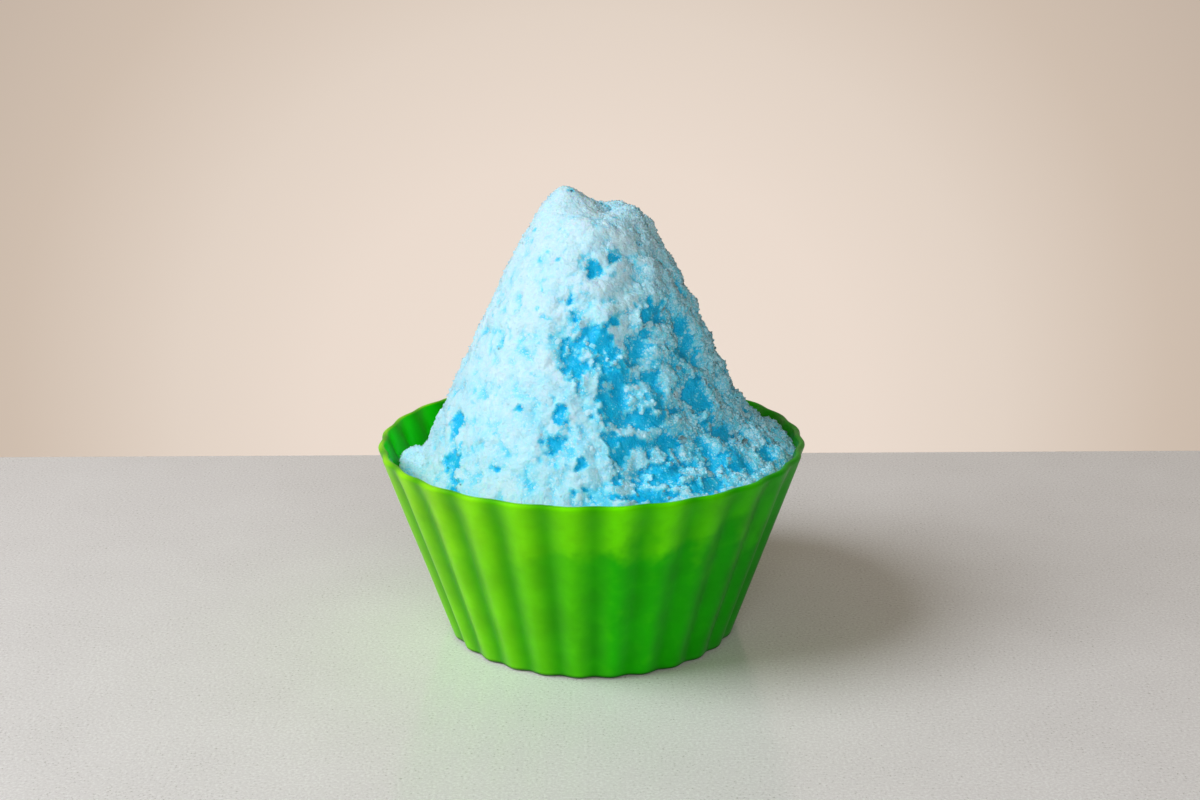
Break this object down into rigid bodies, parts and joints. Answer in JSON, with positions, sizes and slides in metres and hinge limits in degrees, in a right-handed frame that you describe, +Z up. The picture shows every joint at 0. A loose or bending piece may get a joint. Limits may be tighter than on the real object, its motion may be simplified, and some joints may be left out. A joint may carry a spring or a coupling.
{
  "type": "shaved ice dessert in a baking cup",
  "caption": "Tall cone of blue syrup-soaked shaved ice heaped in a tapered green fluted silicone baking cup",
  "frame": {"origin": "middle of the cup's foot, on the surface that it stands on", "axes": "+Z up through the summit of the heap, -Y towards the front of the heap, +X to its right"},
  "size_m": [0.0702, 0.0702, 0.0747],
  "materials": {
    "green_silicone": "satin",
    "syrup_ice": "frosty, wet in the hollows"
  },
  "bodies": {
    "root": {"baking_cup": "green_silicone", "shaved_ice": "syrup_ice"}
  },
  "joints": []
}
